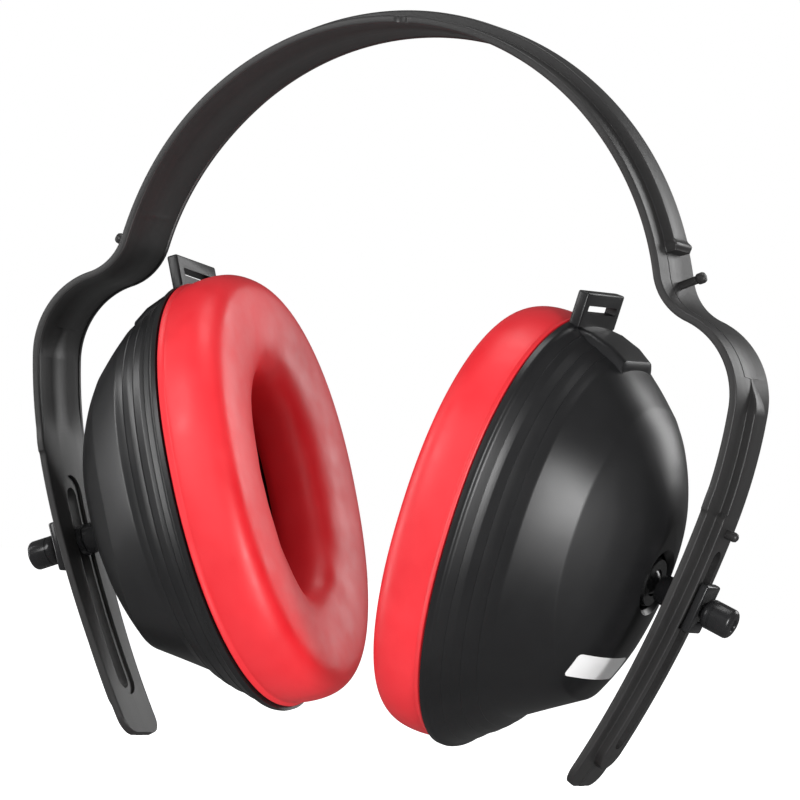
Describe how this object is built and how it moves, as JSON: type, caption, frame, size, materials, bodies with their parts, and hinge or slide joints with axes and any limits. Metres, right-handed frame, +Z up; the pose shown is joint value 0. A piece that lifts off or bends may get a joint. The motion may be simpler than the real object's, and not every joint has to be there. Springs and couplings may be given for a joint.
{
  "type": "hearing protection earmuffs",
  "caption": "Passive hearing protection earmuffs: a slotted plastic headband with two sound-blocking cups on ball pivots and thick soft ring cushions.",
  "frame": {"origin": "lowest point of the inner face at the middle of the headband, where it rests on the crown of the head", "axes": "+X from the wearer's left cup to the right cup, +Y front to back through the cushions' short width, +Z up out of the crown"},
  "size_m": [0.1924, 0.0867, 0.1837],
  "materials": {
    "band_black": "satin moulded plastic",
    "cup_black": "satin moulded plastic",
    "pivot_black": "smooth moulded plastic",
    "cushion_red": "soft vinyl skin",
    "foam_grey": "open-cell foam"
  },
  "bodies": {
    "headband": {"headband": "band_black"},
    "right_slider": {"right_pivot_pin": "pivot_black", "right_slider_block": "pivot_black", "right_knob": "pivot_black", "right_pivot_washer": "pivot_black"},
    "right_ball": {"right_pivot_ball": "pivot_black"},
    "right_race": {"right_ball_race": "pivot_black"},
    "right_cup": {"right_cup_shell": "cup_black", "right_cushion_plate": "cup_black", "right_cushion_skin": "cushion_red", "right_cushion_foam": "foam_grey", "right_acoustic_foam": "foam_grey"},
    "left_slider": {"left_pivot_pin": "pivot_black", "left_slider_block": "pivot_black", "left_knob": "pivot_black", "left_pivot_washer": "pivot_black"},
    "left_ball": {"left_pivot_ball": "pivot_black"},
    "left_race": {"left_ball_race": "pivot_black"},
    "left_cup": {"left_cup_shell": "cup_black", "left_cushion_plate": "cup_black", "left_cushion_skin": "cushion_red", "left_cushion_foam": "foam_grey", "left_acoustic_foam": "foam_grey"}
  },
  "joints": [
    {"name": "right_height", "type": "hinge", "parent": "headband", "child": "right_slider", "pos_m": [-0.19496, 0, -0.0263], "axis": [0, 1, 0], "range_deg": [-1.7, 5.4]},
    {"name": "right_swivel", "type": "hinge", "parent": "right_slider", "child": "right_ball", "pos_m": [0.07036, 0, -0.12842], "axis": [0.9333, 0, -0.3592], "range_deg": [-90, 90]},
    {"name": "right_tilt", "type": "hinge", "parent": "right_ball", "child": "right_race", "pos_m": [0.07036, 0, -0.12842], "axis": [-0.0025, -0.999, -0.0444], "range_deg": [-4, 14]},
    {"name": "right_yaw", "type": "hinge", "parent": "right_race", "child": "right_cup", "pos_m": [0.07036, 0, -0.12842], "axis": [0.2505, -0.0436, 0.9671], "range_deg": [-10, 10]},
    {"name": "left_height", "type": "hinge", "parent": "headband", "child": "left_slider", "pos_m": [0.19496, 0, -0.0263], "axis": [0, -1, 0], "range_deg": [-1.7, 5.4]},
    {"name": "left_swivel", "type": "hinge", "parent": "left_slider", "child": "left_ball", "pos_m": [-0.07036, 0, -0.12842], "axis": [-0.9333, 0, -0.3592], "range_deg": [-90, 90]},
    {"name": "left_tilt", "type": "hinge", "parent": "left_ball", "child": "left_race", "pos_m": [-0.07036, 0, -0.12842], "axis": [-0.0205, 0.9978, -0.0626], "range_deg": [-4, 14]},
    {"name": "left_yaw", "type": "hinge", "parent": "left_race", "child": "left_cup", "pos_m": [-0.07036, 0, -0.12842], "axis": [-0.332, 0.0523, 0.9418], "range_deg": [-10, 10]}
  ]
}
